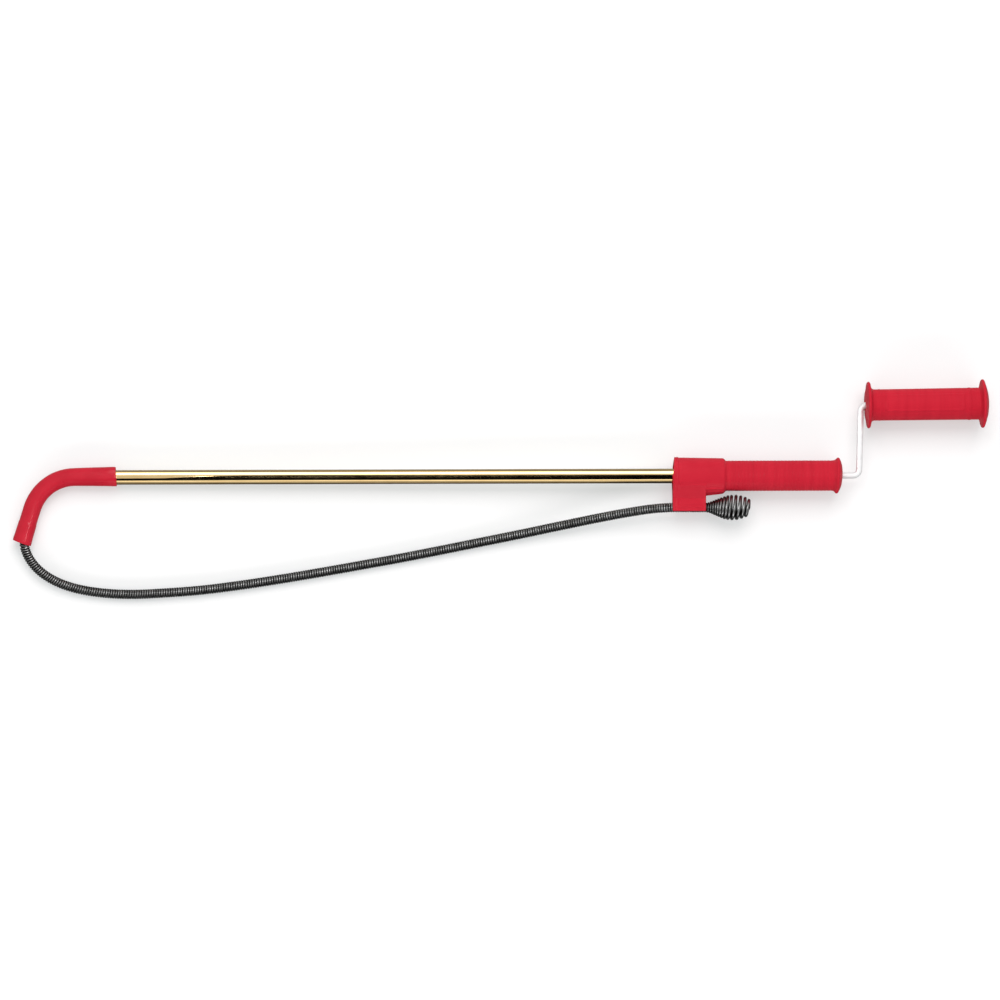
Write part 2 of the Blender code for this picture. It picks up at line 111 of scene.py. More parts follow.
def filleted(corners, radius, count):
    """A path of straight runs whose inner corners are rounded."""
    path = [Vector(corners[0])]
    for before, corner, after in zip(corners, corners[1:], corners[2:]):
        before, corner, after = Vector(before), Vector(corner), Vector(after)
        inward = (before - corner).normalized()
        outward = (after - corner).normalized()
        half = inward.angle(outward) / 2
        start = corner + inward * radius / tan(half)
        finish = corner + outward * radius / tan(half)
        centre = corner + (inward + outward).normalized() * radius / sin(half)
        first, last = (start - centre).normalized(), (finish - centre).normalized()
        for i in range(count + 1):
            path.append(centre + radius * first.slerp(last, i / count))
    return path + [Vector(corners[-1])]


def on_leg(distance):
    """A point on the leg's centreline, so far past the corner."""
    return Vector((BEND_CORNER_X - distance * sin(LEG_LEAN), -distance * cos(LEG_LEAN), 0))


def bend_path(start_x, leg_end, count):
    """From a place on the straight tube, round the bowl bend, to a place on the leg."""
    return filleted([(start_x, 0, 0), (BEND_CORNER_X, 0, 0), on_leg(leg_end)], BEND_R, count)


def smooth_through(route, per_span):
    """Points read from one smooth curve through the route's own points."""
    points = [Vector(p) for p in route]
    ends = [2 * points[0] - points[1]] + points + [2 * points[-1] - points[-2]]
    found = []
    for p0, p1, p2, p3 in zip(ends, ends[1:], ends[2:], ends[3:]):
        before, here, after = (p1 - p0).length, (p2 - p1).length, (p3 - p2).length
        start = ((p1 - p0) / before * here + (p2 - p1) / here * before) / (before + here)
        finish = ((p2 - p1) / here * after + (p3 - p2) / after * here) / (here + after)
        for i in range(per_span):
            t = i / per_span
            found.append(
                (2 * t**3 - 3 * t**2 + 1) * p1
                + (t**3 - 2 * t**2 + t) * here * start
                + (3 * t**2 - 2 * t**3) * p2
                + (t**3 - t**2) * here * finish
            )
    return found + [points[-1]]


def cable_path():
    """The whole cable, from the coupling in the tube, out of the mouth and back to the clip."""
    inside = bend_path(CABLE_START_X, LEG_LENGTH - 12 * MM, 12)
    outside = [(x, y, height - axis_height(x)) for x, y, height in CABLE_ROUTE]
    clipped = [(HOOK_X[0] - 3 * MM, CLIP_Y, 0), (CABLE_END_X, CLIP_Y, 0)]
    return inside + smooth_through([*outside, *clipped], 8)


def resampled(points, step):
    """The same path with points at equal steps along it, as an array."""
    points = np.array([tuple(p) for p in points])
    runs = np.linalg.norm(np.diff(points, axis=0), axis=1)
    along = np.concatenate([[0], np.cumsum(runs)])
    places = np.linspace(0, along[-1], max(2, int(round(along[-1] / step)) + 1))
    return np.column_stack([np.interp(places, along, points[:, i]) for i in range(3)])


def carried_frames(points):
    """Tangent, normal and binormal at each point, carried along the path without twist."""
    points = np.asarray(points, float)
    tangent = np.gradient(points, axis=0)
    tangent /= np.linalg.norm(tangent, axis=1)[:, None]
    normal = np.empty_like(tangent)
    guess = np.array([0.0, 0.0, 1.0])
    nearly_parallel = 0.9
    if abs(tangent[0] @ guess) > nearly_parallel:
        guess = np.array([0.0, 1.0, 0.0])
    for i, t in enumerate(tangent):
        guess = guess - (guess @ t) * t
        guess /= np.linalg.norm(guess)
        normal[i] = guess
    return tangent, normal, np.cross(tangent, normal)


# ---------------------------------------------------------------- meshes

def piece(name, vertices, faces, body, finish, place, smooth):
    """A mesh object on a body, made from points in one of the frames above.

    Its faces are smooth where they meet at less than the angle smooth, in degrees.
    """
    mesh = bpy.data.meshes.new(name)
    mesh.from_pydata([tuple(v) for v in vertices], [], [tuple(f) for f in faces])
    mesh.transform(place)
    mesh.validate()
    mesh.shade_smooth()
    mesh.set_sharp_from_angle(angle=radians(smooth))
    mesh.materials.append(finish)
    obj = bpy.data.objects.new(name, mesh)
    bpy.context.scene.collection.objects.link(obj)
    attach(obj, body)
    return obj


def grid_faces(rings, sides, wrap=False):
    """Quads that join rings of points, each ring closed on itself."""
    i, j = np.meshgrid(np.arange(rings if wrap else rings - 1), np.arange(sides), indexing="ij")
    here, there = i * sides, ((i + 1) % rings) * sides
    turn = (j + 1) % sides
    quads = np.stack([here + j, here + turn, there + turn, there + j], axis=-1)
    return quads.reshape(-1, 4).tolist()


def swept(points, radii, sides):
    """Rings of points round a path, with a radius at each point."""
    _, normal, binormal = carried_frames(points)
    turn = np.linspace(0, 2 * pi, sides, endpoint=False)
    radii = np.broadcast_to(np.asarray(radii, float), (len(points),))
    offset = normal[:, None, :] * np.cos(turn)[None, :, None]
    offset = offset + binormal[:, None, :] * np.sin(turn)[None, :, None]
    return np.asarray(points)[:, None, :] + offset * radii[:, None, None]


def bar(points, radii, sides):
    """Vertices and faces of a solid bar along a path, closed at both ends."""
    rings = swept(points, radii, sides)
    count = len(rings)
    vertices = rings.reshape(-1, 3).tolist()
    faces = grid_faces(count, sides)
    vertices += [tuple(points[0]), tuple(points[-1])]
    head, tail, last = count * sides, count * sides + 1, (count - 1) * sides
    for j in range(sides):
        faces.append((head, (j + 1) % sides, j))
        faces.append((tail, last + j, last + (j + 1) % sides))
    return vertices, faces


def pipe(path_out, radii_out, path_in, radii_in, sides):
    """A hollow pipe: an outer skin, and an inner skin run back the other way."""
    outer = swept(path_out, radii_out, sides)
    inner = swept(path_in, radii_in, sides)[::-1]
    rings = np.concatenate([outer, inner])
    return rings.reshape(-1, 3).tolist(), grid_faces(len(rings), sides, wrap=True)


def lathe(profile, sides, closed=True):
    """Vertices and faces turned about X from a profile of (x, radius), outer side from +X to -X."""
    turn = np.linspace(0, 2 * pi, sides, endpoint=False)
    rings = [
        np.column_stack([np.full(sides, x), r * np.cos(turn), r * np.sin(turn)]) for x, r in profile
    ]
    faces = grid_faces(len(rings), sides, wrap=closed)
    return np.concatenate(rings), [face[::-1] for face in faces]


def arc(centre, radius, start, end, count):
    """Points (x, radius) on an arc in the turning plane, angles in degrees from +X."""
    angles = np.radians(np.linspace(start, end, count))
    return [(centre[0] + radius * cos(a), centre[1] + radius * sin(a)) for a in angles]


def rounded(profile, radius, count=5):
    """The profile with each inner corner rounded."""
    corners = [(x, r, 0) for x, r in profile]
    nearly_straight, most_of_side = radians(88), 0.45
    path = [corners[0]]
    for before, corner, after in zip(corners, corners[1:], corners[2:]):
        before, corner, after = Vector(before), Vector(corner), Vector(after)
        one, two = before - corner, after - corner
        half = one.angle(two) / 2
        if half > nearly_straight:
            path.append(tuple(corner))
            continue
        reach = min(radius / tan(half), one.length * most_of_side, two.length * most_of_side)
        start, finish = corner + one.normalized() * reach, corner + two.normalized() * reach
        for i in range(count + 1):
            t = i / count
            path.append(tuple((1 - t) ** 2 * start + 2 * t * (1 - t) * corner + t**2 * finish))
    path.append(corners[-1])
    return [(p[0], p[1]) for p in path]


# ---------------------------------------------------------------- materials

NOISE_LOW, NOISE_HIGH = 0.3, 0.7      # most values of a noise lie between these


def new_material(name):
    """A material, its node tree and its shader."""
    made = bpy.data.materials.new(name)
    made.use_nodes = True
    return made, made.node_tree, made.node_tree.nodes["Principled BSDF"]


def add_node(tree, kind, **settings):
    """A new node with some of its settings changed."""
    node = tree.nodes.new(kind)
    for key, value in settings.items():
        setattr(node, key, value)
    return node


def noise(tree, scale, detail, stretch=(1, 1, 1)):
    """Noise in the piece's own space, stretched along an axis if asked."""
    place = add_node(tree, "ShaderNodeTexCoord")
    mapping = add_node(tree, "ShaderNodeMapping")
    mapping.inputs["Scale"].default_value = stretch
    tree.links.new(place.outputs["Object"], mapping.inputs["Vector"])
    texture = add_node(tree, "ShaderNodeTexNoise")
    texture.inputs["Scale"].default_value = scale
    texture.inputs["Detail"].default_value = detail
    texture.inputs["Roughness"].default_value = 0.55
    tree.links.new(mapping.outputs["Vector"], texture.inputs["Vector"])
    return texture.outputs["Fac"]


def spread(tree, value, low, high, start=NOISE_LOW, end=NOISE_HIGH):
    """A value read from start to end becomes one from low to high."""
    node = add_node(tree, "ShaderNodeMapRange")
    node.inputs["From Min"].default_value = start
    node.inputs["From Max"].default_value = end
    node.inputs["To Min"].default_value = low
    node.inputs["To Max"].default_value = high
    tree.links.new(value, node.inputs["Value"])
    return node.outputs["Result"]


def tint(tree, value, first, second):
    """A colour that goes from first to second with a noise."""
    node = add_node(tree, "ShaderNodeValToRGB")
    node.color_ramp.elements[0].position = NOISE_LOW
    node.color_ramp.elements[0].color = (*first, 1)
    node.color_ramp.elements[1].position = NOISE_HIGH
    node.color_ramp.elements[1].color = (*second, 1)
    tree.links.new(value, node.inputs["Fac"])
    return node.outputs["Color"]


def bump(tree, shader, height, strength, distance):
    """Let a value stand out from the surface, by up to a distance in metres."""
    node = add_node(tree, "ShaderNodeBump")
    node.inputs["Strength"].default_value = strength
    node.inputs["Distance"].default_value = distance
    tree.links.new(height, node.inputs["Height"])
    tree.links.new(node.outputs["Normal"], shader.inputs["Normal"])


def vinyl(name, light, dark, rough=(0.36, 0.5), coat=0.0, bands=(1, 1, 1)):
    """Moulded red vinyl: slightly uneven colour and gloss, with a fine moulded grain."""
    made, tree, shader = new_material(name)
    broad = noise(tree, 45, 3, stretch=bands)
    tree.links.new(tint(tree, broad, dark, light), shader.inputs["Base Color"])
    tree.links.new(spread(tree, noise(tree, 160, 5), *rough), shader.inputs["Roughness"])
    shader.inputs["Specular IOR Level"].default_value = 0.10
    shader.inputs["Coat Weight"].default_value = coat
    shader.inputs["Coat Roughness"].default_value = 0.16
    bump(tree, shader, noise(tree, 1400, 3), 0.12, 0.0004)
    return made


def gold_plating():
    """Polished gold-coloured plating, with faint lengthwise polishing lines and a few dull spots."""
    made, tree, shader = new_material("gold_plating")
    lines = noise(tree, 60, 6, stretch=(0.12, 14, 14))
    spots = noise(tree, 35, 5)
    colour = tint(tree, spots, (0.82, 0.58, 0.27), (0.88, 0.65, 0.32))
    tree.links.new(colour, shader.inputs["Base Color"])
    tree.links.new(spread(tree, spots, 0.05, 0.09), shader.inputs["Roughness"])
    shader.inputs["Metallic"].default_value = 1.0
    bump(tree, shader, lines, 0.05, 0.0002)
    return made


def spring_steel():
    """Oiled spring wire, in its own colour on the crest of each turn, with painted shade near black in
    the grooves between the turns.
    """
    made, tree, shader = new_material("spring_steel")
    film = noise(tree, 130, 6)
    crest_colour = tint(tree, film, (0.12, 0.12, 0.117), (0.35, 0.35, 0.35))
    crest = add_node(tree, "ShaderNodeAttribute", attribute_name="crest")
    crest_share = spread(tree, crest.outputs["Fac"], 0, 1, 0.80, 1.0)
    mix = add_node(tree, "ShaderNodeMix", data_type="RGBA")
    # near black where the wire lies low: painted shade in the grooves between the turns
    mix.inputs["A"].default_value = (0.012, 0.012, 0.011, 1)
    tree.links.new(crest_share, mix.inputs["Factor"])
    tree.links.new(crest_colour, mix.inputs["B"])
    tree.links.new(mix.outputs["Result"], shader.inputs["Base Color"])
    tree.links.new(spread(tree, noise(tree, 400, 4), 0.25, 0.42), shader.inputs["Roughness"])
    shader.inputs["Metallic"].default_value = 1.0
    bump(tree, shader, noise(tree, 2600, 3), 0.15, 0.0002)
    return made


def bright_steel():
    """Bright zinc plating on steel."""
    made, tree, shader = new_material("bright_steel")
    cloud = noise(tree, 120, 5, stretch=(0.4, 1, 1))
    colour = tint(tree, cloud, (0.84, 0.84, 0.85), (0.95, 0.95, 0.95))
    tree.links.new(colour, shader.inputs["Base Color"])
    tree.links.new(spread(tree, cloud, 0.40, 0.50), shader.inputs["Roughness"])
    shader.inputs["Metallic"].default_value = 0.5
    bump(tree, shader, noise(tree, 900, 4, stretch=(0.1, 1, 1)), 0.02, 0.0002)
    return made


def black_steel():
    """Black oxide on steel, with a faint film of oil."""
    made, tree, shader = new_material("black_steel")
    film = noise(tree, 600, 4)
    colour = tint(tree, film, (0.03, 0.03, 0.032), (0.07, 0.07, 0.075))
    tree.links.new(colour, shader.inputs["Base Color"])
    tree.links.new(spread(tree, film, 0.35, 0.5), shader.inputs["Roughness"])
    shader.inputs["Metallic"].default_value = 0.9
    return made


def nylon():
    """Natural nylon, a little cloudy."""
    made, tree, shader = new_material("nylon")
    cloud = noise(tree, 200, 4)
    colour = tint(tree, cloud, (0.72, 0.70, 0.62), (0.80, 0.78, 0.72))
    tree.links.new(colour, shader.inputs["Base Color"])
    tree.links.new(spread(tree, cloud, 0.42, 0.55), shader.inputs["Roughness"])
    bump(tree, shader, noise(tree, 1800, 3), 0.1, 0.0002)
    return made


def floor_finish():
    """A white back-lit floor; its glow is a little cooler, so that shadows beside the red stay grey."""
    made, tree, shader = new_material("floor_white")
    cloud = noise(tree, 3, 2)
    colour = tint(tree, cloud, (0.520, 0.495, 0.495), (0.530, 0.505, 0.505))
    tree.links.new(colour, shader.inputs["Base Color"])
    shader.inputs["Roughness"].default_value = 0.9
    shader.inputs["Specular IOR Level"].default_value = 0.0
    shader.inputs["Emission Color"].default_value = (0.91, 1, 1, 1)
    shader.inputs["Emission Strength"].default_value = 0.36
    return made


RED_GUARD = vinyl("red_vinyl", (0.45, 0.011, 0.026), (0.40, 0.008, 0.021), rough=(0.26, 0.38), coat=0.20)
RED_GRIP = vinyl("red_grip", (0.46, 0.012, 0.027), (0.40, 0.009, 0.022), bands=(3, 0.15, 0.15))
RED_COLLAR = vinyl("red_collar", (0.45, 0.012, 0.027), (0.42, 0.010, 0.024))
GOLD, SPRING, BRIGHT = gold_plating(), spring_steel(), bright_steel()
BLACK, NYLON = black_steel(), nylon()

NODE_FINISHES = {
    "rod_bush": NYLON, "crank_grip_liner": NYLON, "cable_coupling": BRIGHT, "thrust_washer": BRIGHT,
    "inner_grip_washer": BRIGHT, "outer_grip_washer": BRIGHT, "push_nut": BRIGHT,
    "grub_screw_1": BLACK, "grub_screw_2": BLACK, "cable_inner_core": SPRING, "bulb_core_tip": SPRING,
}
for node, finish in NODE_FINISHES.items():
    mesh = frame["nodes"][node].data
    mesh.materials.clear()
    mesh.materials.append(finish)


# ---------------------------------------------------------------- camera, light and floor

PICTURE_WIDTH, PICTURE_MIDDLE = 1.3, (0.00075, -0.0133)   # of what the camera sees, in metres
CAMERA_HEIGHT, TOOL_HEIGHT, SENSOR = 4.2, 0.02, 36.0


def make_camera():
    """A camera straight above the tool, rolled by the slight tilt that the photograph has."""
    data = bpy.data.cameras.new("camera")
    data.sensor_width = SENSOR
    data.lens = SENSOR * (CAMERA_HEIGHT - TOOL_HEIGHT) / PICTURE_WIDTH
    data.clip_end = 50
    camera = bpy.data.objects.new("camera", data)
    bpy.context.scene.collection.objects.link(camera)
    camera.location = (*PICTURE_MIDDLE, CAMERA_HEIGHT)
    camera.rotation_euler = (0, 0, radians(-0.146))
    bpy.context.scene.camera = camera


def area_light(name, width, height, radiance):
    """A rectangular light of even brightness, which the camera doesn't see."""
    data = bpy.data.lights.new(name, "AREA")
    data.shape = "RECTANGLE"
    data.size, data.size_y = width, height
    data.energy = radiance * pi * width * height
    light = bpy.data.objects.new(name, data)
    bpy.context.scene.collection.objects.link(light)
    light.visible_camera = False
    return light


def flat_panel(name, corners, finish):
    """A flat sheet that belongs to the studio, not to the object."""
    mesh = bpy.data.meshes.new(name)
    mesh.from_pydata(corners, [], [tuple(range(len(corners)))])
    mesh.materials.append(finish)
    obj = bpy.data.objects.new(name, mesh)
    bpy.context.scene.collection.objects.link(obj)
    return obj


def soft_box(name, location, size, radiance):
    """A large soft light aimed at the middle of the floor. Reflections don't see it."""
    light = area_light(name, *size, radiance)
    light.location = location
    light.rotation_euler = (-Vector(location)).to_track_quat("-Z", "Y").to_euler()
    light.visible_glossy = False


def shine_strip(name, start, finish, tilt, distance, height, radiance):
    """A strip beside a run of the tool, tilted from straight above it, that only reflections see."""
    start, finish = Vector(start), Vector(finish)
    middle, along = (start + finish) / 2, (finish - start).normalized()
    side, up = Vector((0, 0, 1)).cross(along), Vector((0, 0, 1))
    away = side * sin(tilt) + up * cos(tilt)
    light = area_light(name, (finish - start).length, height, radiance)
    placed = Matrix((along, away.cross(along), away)).transposed().to_4x4()
    placed.translation = middle + away * distance
    light.matrix_world = TOOL @ placed
    light.visible_diffuse = False


def make_sky(above, below, front):
    """A white sky, darker below the horizon and low over the front, on the side of -Y."""
    world = bpy.data.worlds.new("studio")
    bpy.context.scene.world = world
    world.use_nodes = True
    tree = world.node_tree
    place = add_node(tree, "ShaderNodeTexCoord")
    parts = add_node(tree, "ShaderNodeSeparateXYZ")
    tree.links.new(place.outputs["Generated"], parts.inputs["Vector"])
    level = spread(tree, parts.outputs["Z"], below, above, start=0.0, end=0.45)
    shade = spread(tree, parts.outputs["Y"], front, 1, start=-0.8, end=-0.25)
    product = add_node(tree, "ShaderNodeMath", operation="MULTIPLY")
    tree.links.new(level, product.inputs[0])
    tree.links.new(shade, product.inputs[1])
    background = tree.nodes["Background"]
    background.inputs["Color"].default_value = (1, 1, 1, 1)
    tree.links.new(product.outputs["Value"], background.inputs["Strength"])


def reflected_card(name, corners, finish):
    """A flat card in the tool's frame that only reflections see."""
    card = flat_panel(name, corners, finish)
    card.matrix_world = TOOL
    card.visible_camera = False
    card.visible_diffuse = False
    card.visible_shadow = False


def make_flags():
    """Black cards: one over the guide tube makes its dark band, one under the cable stands in for the
    shaded floor beside it and paints shade into its sides.
    """
    made, _, shader = new_material("flag_black")
    shader.inputs["Base Color"].default_value = (0.002, 0.002, 0.0025, 1)
    shader.inputs["Roughness"].default_value = 1.0
    shader.inputs["Specular IOR Level"].default_value = 0.0
    # millimetres in the tool frame: the edge towards -Y, then the other edge and back
    height = 30
    near = [(-514, -26), (-391, -24), (-261, -22.5), (-130, -24.3), (0, -26.0), (232, -31)]
    far = [
        (232, 8.6), (0, 9.9), (-131, 11.4), (-261, 13.2),
        (-340, 11.5), (-391, 4.5), (-440, -6), (-514, -8),
    ]
    reflected_card("flag_over_tube", [(x * MM, y * MM, height * MM) for x, y in near + far], made)
    # the card under the cable is painted shade: in reflections it stands in for the floor in shade
    # beside the cable
    inner, outer, above_floor = 17 * MM, 15 * MM, 0.4 * MM
    route = [(x, y, 0) for x, y, _ in CABLE_ROUTE] + [(CABLE_END_X, CLIP_Y, 0)]
    route = resampled(route, 22 * MM)
    across = np.gradient(route, axis=0)[:, [1, 0, 2]] * [-1, 1, 0]
    across /= np.linalg.norm(across, axis=1)[:, None]
    edges = [*(route + inner * across), *(route - outer * across)[::-1]]
    corners = [(x, y, above_floor - axis_height(x)) for x, y, _ in edges]
    reflected_card("flag_under_cable", corners, made)


def make_studio():
    """The floor, two soft boxes, the strips and flags that the steel reflects, and the sky."""
    far = 6.0
    corners = [(-far, -far, 0), (far, -far, 0), (far, far, 0), (-far, far, 0)]
    floor = flat_panel("floor", corners, floor_finish())
    floor.visible_glossy = False
    soft_box("key", (0.2, 2.6, 3.2), (3.3, 3.3), 4.4)
    soft_box("fill", (0.0, -2.1, 1.0), (6.0, 0.9), 3.7)
    hidden = 13 * MM                 # how far the tube's strips run on past what is seen of it
    tube = ((GUARD_TOP_X - hidden, 0, 0), (HOOK_X[0] + hidden, 0, 0))
    away = 45 * MM
    shine_strip("high_shine", *tube, radians(54), away, 30 * MM, 2.8)
    shine_strip("low_shine", *tube, radians(-57), away, 13 * MM, 1.3)
    shine_strip("flank_shine", *tube, radians(-82), away, 27 * MM, 0.42)
    shine_strip("leg_shine", on_leg(84 * MM), on_leg(50 * MM), radians(-36), 60 * MM, 5 * MM, 14)
    cable = [Vector(place) * MM for place in ((-430, -128, 0), (60, -85, 0))]
    shine_strip("cable_shine", *cable, radians(15), 600 * MM, 270 * MM, 7)
    bulb = [(CABLE_END_X + x * MM, CLIP_Y, 0) for x in (5, 80)]
    shine_strip("bulb_shine", *bulb, radians(-65), 120 * MM, 60 * MM, 3.2)
    make_sky(above=0.78, below=0.34, front=0.12)
    make_flags()
    view = bpy.context.scene.view_settings
    view.view_transform = "Standard"
    view.look = "None"


# ---------------------------------------------------------------- guide

def make_tube():
    """The guide tube, from inside the hand grip round the bend, with its ends' edges broken."""
    path = resampled(bend_path(TUBE_TOP_X, LEG_LENGTH - TUBE_RECESS, 40), 4 * MM)
    radii = np.full(len(path), TUBE_R)
    radii[0] = radii[-1] = TUBE_R - 0.25 * MM
    vertices, faces = pipe(path, radii, path, TUBE_R - TUBE_WALL, 64)
    tube = piece("polished_tube", vertices, faces, "guide", GOLD, TOOL, 40)
    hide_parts("guide_tube")


def make_guard():
    """The vinyl sleeve: thicker on its outer side, stepped near the mouth, cut a little askew."""
    path = resampled(bend_path(GUARD_TOP_X, LEG_LENGTH, 60), 0.75 * MM)
    runs = np.linalg.norm(np.diff(path, axis=0), axis=1)
    along = np.concatenate([[0], np.cumsum(runs)])
    left = along[-1] - along
    radii = GUARD_R + (GUARD_END_R - GUARD_R) * np.clip(1 - along / (54 * MM), 0, 1)
    step = 0.45 * MM
    stepped = 1 / (1 + np.exp((left - 27 * MM) / (0.4 * MM)))
    radii += step * stepped + (GUARD_MOUTH_R - GUARD_R - step) * np.exp(-left / (10 * MM))
    sides = 96
    rings = swept(path, radii, sides)
    centres = path[:, None, :]
    turn = np.linspace(0, 2 * pi, sides, endpoint=False)[None, :]
    away = (rings - centres) / np.linalg.norm(rings - centres, axis=2, keepdims=True)
    s = along[:, None]
    near_top = np.clip(1.5 - s / (60 * MM), 0, 1)
    grown = (0.3 * MM + 1.15 * MM * away[:, :, 1]) * near_top
    # low, slow waves where the sleeve was pushed over the bend
    fade = np.clip(np.minimum(s, left[:, None]) / (10 * MM), 0, 1)
    waves = np.sin(s / (9 * MM) + 2.0 * np.sin(turn)) * np.sin(s / (31 * MM) + 1.3) * 0.10 * MM
    waves += np.sin(2 * turn + s / (17 * MM)) * 0.07 * MM
    rings = rings + away * (grown + waves * fade)[:, :, None]
    lip_rings, lip_drop = 4, 0.5 * MM
    for i in range(lip_rings):
        drop = lip_drop * (1 - sin(pi / 2 * (i + 0.3) / lip_rings))
        rings[i] -= away[i] * drop
        rings[-1 - i] -= away[-1 - i] * drop
    rings = np.concatenate([rings, swept(path, TUBE_R + SLACK, sides)[::-1]])
    vertices = rings.reshape(-1, 3)
    # the top end leans with the cut of the sleeve, and so does the mouth
    top_lean, mouth_lean = radians(3.5), radians(3.0)
    at_top = np.clip(1 - (GUARD_TOP_X - vertices[:, 0]) / (10 * MM), 0, 1)
    vertices[:, 0] += at_top * (0.09 * vertices[:, 2] - vertices[:, 1] * tan(top_lean))
    mouth, aim = np.array(on_leg(LEG_LENGTH)), np.array(on_leg(1)) - np.array(on_leg(0))
    past = (vertices - mouth) @ aim
    across = (vertices - mouth) @ np.array([aim[1], -aim[0], 0])
    at_mouth = np.clip(1 + past / (12 * MM), 0, 1) * (vertices[:, 1] < -20 * MM)
    vertices += (at_mouth * -across * tan(mouth_lean))[:, None] * aim
    faces = grid_faces(len(rings), sides, wrap=True)
    guard = piece("bowl_guard_sleeve", vertices, faces, "guide", RED_GUARD, TOOL, 50)
    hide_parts("bowl_guard")


def make_hand_grip():
    """The long grip: fine rings along its body, and a rolled rim with a domed end."""
    low, high = GRIP_X
    bore, seat, hole = TUBE_R + SLACK, TUBE_TOP_X + 3.4 * MM, ROD_R + 0.6 * MM
    roll = 2.2 * MM
    rim = arc((GRIP_RIM_X, GRIP_RIM_R - roll), roll, 15, 165, 14)
    dome = [
        (high, hole + 0.3 * MM), (high - 0.05 * MM, 8 * MM),
        (high - 0.9 * MM, 14 * MM), (high - 2.6 * MM, 18.8 * MM),
    ]
    neck = [
        (GRIP_RIM_X - 2.9 * MM, GRIP_RIM_R - 2.0 * MM), (GRIP_RIM_X - 4.2 * MM, GRIP_R + 0.45 * MM),
        (GRIP_RIM_X - 6.5 * MM, GRIP_R + 0.05 * MM), (GRIP_RIM_X - 8 * MM, GRIP_R),
    ]
    body, x = [], GRIP_RIM_X - 9 * MM
    pitch, depth, sharpness, per_ring = 4.6 * MM, 0.32 * MM, 6, 16
    while x > COLLAR_X[1] - 4 * MM:
        groove = max(0.0, cos(2 * pi * (x - GRIP_RIM_X) / pitch)) ** sharpness
        body.append((x, GRIP_R - depth * groove))
        x -= pitch / per_ring
    tail = [
        (low + 2 * MM, GRIP_R), (low + 0.4 * MM, GRIP_R - 0.4 * MM), (low, GRIP_R - 2 * MM),
        (low, bore), (seat, bore), (seat, hole), (high - 0.4 * MM, hole),
    ]
    vertices, faces = lathe([*rounded(dome, 2 * MM), *rim, *rounded(neck, 1.5 * MM), *body, *tail], 128)
    rim_lean = radians(2.7)
    at_rim = np.clip((vertices[:, 0] - GRIP_RIM_X + 8 * MM) / (5 * MM), 0, 1)
    vertices[:, 0] += at_rim * vertices[:, 1] * tan(rim_lean)
    grip = piece("ribbed_hand_grip", vertices, faces, "guide", RED_GRIP, TOOL, 50)
    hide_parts("hand_grip")


def mark_crest(obj, vertices, wire, middle, sides, crest_peak):
    """Note on each point of a wound wire how far out it lies: the given peak on its crest, 0 at the
    inside. The material paints low values near black, as painted shade in the grooves.
    """
    centres, axis = np.repeat(wire, sides, axis=0), np.repeat(middle, sides, axis=0)
    outward = (centres - axis) / np.linalg.norm(centres - axis, axis=1)[:, None]
    skin = np.array(vertices)[: len(centres)]
    values = crest_peak * (0.5 + 0.5 * ((skin - centres) * outward).sum(1) / WIRE_R)
    values = np.append(values, np.full(len(vertices) - len(values), crest_peak))
    obj.data.attributes.new("crest", "FLOAT", "POINT").data.foreach_set("value", values)


def make_cable():
    """The close-wound coil: one wire wound along the cable's route. Gives its angle at the end."""
    path = resampled(cable_path(), 1.0 * MM)
    _, normal, binormal = carried_frames(path)
    length = np.linalg.norm(np.diff(path, axis=0), axis=1).sum()
    per_turn, sides, thinning = 20, 8, 5
    count = int(length / WINDING * per_turn)
    share = np.linspace(0, len(path) - 1, count)
    middle, n, b = (
        np.column_stack([np.interp(share, np.arange(len(path)), a[:, i]) for i in range(3)])
        for a in (path, normal, binormal)
    )
    turn = -2 * pi * np.arange(count) / per_turn
    radius = CABLE_R - WIRE_R
    points = middle + radius * (np.cos(turn)[:, None] * n + np.sin(turn)[:, None] * b)
    radii = np.full(count, WIRE_R)
    radii[-thinning:] *= np.linspace(1, MEETING_WIRE, thinning)
    vertices, faces = bar(points, radii, sides)
    coil = piece("wound_cable", vertices, faces, "guide", SPRING, TOOL, 80)
    mark_crest(coil, vertices, points, middle, sides, 1.0)
    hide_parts("drain_cable")
    end = points[-1] - middle[-1]
    return atan2(end[2], end[1])


# How far out the bulb reaches, at distances along its axis from the cable's end, all in mm
BULB_SHAPE = (
    (0, 6.35), (22.2, 6.35), (26, 7.0), (34.8, 10.4), (42.7, 13.4), (50, 15.6), (58, 16.35),
    (64.5, 15.8), (71, 13.9), (75, 12.2), (79, 9.6), (81, 8.2),
)
# Distances along the bulb's axis, and the pitch of its wire there
BULB_PITCH = np.array([(38, 44, 50, 58, 70, 74), (3.1, 3.9, 4.4, 6.1, 6.1, 5.0)]) * MM


